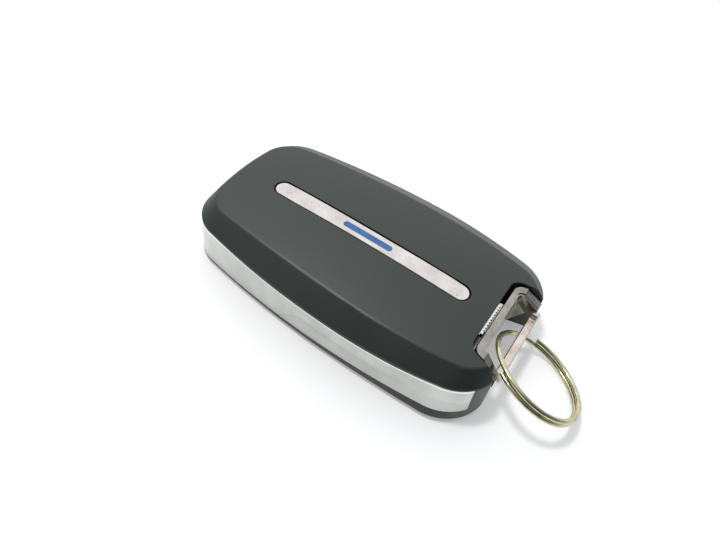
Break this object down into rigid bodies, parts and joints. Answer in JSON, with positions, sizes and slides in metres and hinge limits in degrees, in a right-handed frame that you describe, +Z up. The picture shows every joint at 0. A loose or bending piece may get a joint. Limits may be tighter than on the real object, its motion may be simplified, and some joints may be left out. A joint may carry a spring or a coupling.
{
  "type": "car key fob",
  "caption": "Slim rounded smart key fob with a faceted soft-touch cover, chrome side bands, pull-out emergency key and a split ring.",
  "frame": {"origin": "on the resting button-side face, midway along the body", "axes": "+Z up towards the back cover, +Y towards the key and ring end, +X towards the right-hand chrome side band"},
  "size_m": [0.039, 0.0818, 0.0132],
  "materials": {
    "soft_black": "satin soft-touch coating",
    "case_black": "fine matt grain",
    "chrome": "bright plated",
    "satin_chrome": "satin plated",
    "enamel_blue": "glossy enamel",
    "seal_rubber": "matt",
    "frame_black": "matt moulded",
    "board_green": "solder mask",
    "cell_steel": "brushed",
    "contact_nickel": "nickel plated",
    "mat_rubber": "silicone",
    "chip_black": "moulded",
    "coil_ferrite": "ferrite and enamelled wire",
    "button_rubber": "soft grain",
    "button_red": "soft grain",
    "key_steel": "satin steel",
    "blade_nickel": "nickel plated brass",
    "ring_nickel": "yellowed nickel plate",
    "spring_steel": "spring wire"
  },
  "bodies": {
    "fob_body": {"back_cover": "soft_black", "front_case": "case_black", "side_trim_left": "chrome", "side_trim_right": "chrome", "trim_bar": "satin_chrome", "trim_enamel": "enamel_blue", "case_seal": "seal_rubber", "inner_frame": "frame_black", "circuit_board": "board_green", "coin_cell": "cell_steel", "battery_contact_positive": "contact_nickel", "battery_contact_negative": "contact_nickel", "keypad_mat": "mat_rubber", "tact_switches": "chip_black", "capacitors": "coil_ferrite", "processor_chip": "chip_black", "radio_chip": "chip_black", "quartz_crystal": "cell_steel", "antenna_coil": "coil_ferrite", "latch_spring": "spring_steel"},
    "button_lock": {"button_lock": "button_rubber"},
    "button_unlock": {"button_unlock": "button_rubber"},
    "button_start": {"button_start": "button_rubber"},
    "button_trunk": {"button_trunk": "button_rubber"},
    "button_panic": {"button_panic": "button_red"},
    "release_latch": {"release_latch": "chrome"},
    "emergency_key": {"key_head": "chrome", "head_crossbar": "key_steel", "key_blade": "blade_nickel"},
    "key_ring": {"key_ring": "ring_nickel"}
  },
  "joints": [
    {"name": "button_lock_press", "type": "slide", "parent": "fob_body", "child": "button_lock", "axis": [0, 0, 1], "range_m": [0, 0.0006], "stiffness_N_per_m": 800},
    {"name": "button_unlock_press", "type": "slide", "parent": "fob_body", "child": "button_unlock", "axis": [0, 0, 1], "range_m": [0, 0.0006], "stiffness_N_per_m": 800},
    {"name": "button_start_press", "type": "slide", "parent": "fob_body", "child": "button_start", "axis": [0, 0, 1], "range_m": [0, 0.0006], "stiffness_N_per_m": 800},
    {"name": "button_trunk_press", "type": "slide", "parent": "fob_body", "child": "button_trunk", "axis": [0, 0, 1], "range_m": [0, 0.0006], "stiffness_N_per_m": 800},
    {"name": "button_panic_press", "type": "slide", "parent": "fob_body", "child": "button_panic", "axis": [0, 0, 1], "range_m": [0, 0.0006], "stiffness_N_per_m": 800},
    {"name": "latch_slide", "type": "slide", "parent": "fob_body", "child": "release_latch", "axis": [1, 0, 0], "range_m": [0, 0.002], "stiffness_N_per_m": 400, "deforming": ["latch_spring"]},
    {"name": "key_pull", "type": "slide", "parent": "fob_body", "child": "emergency_key", "axis": [0, 1, 0], "range_m": [0, 0.046]},
    {"name": "ring_swing", "type": "hinge", "parent": "emergency_key", "child": "key_ring", "pos_m": [0, 0.033, 0.0063], "axis": [1, 0, 0], "range_deg": [0, 12]}
  ]
}
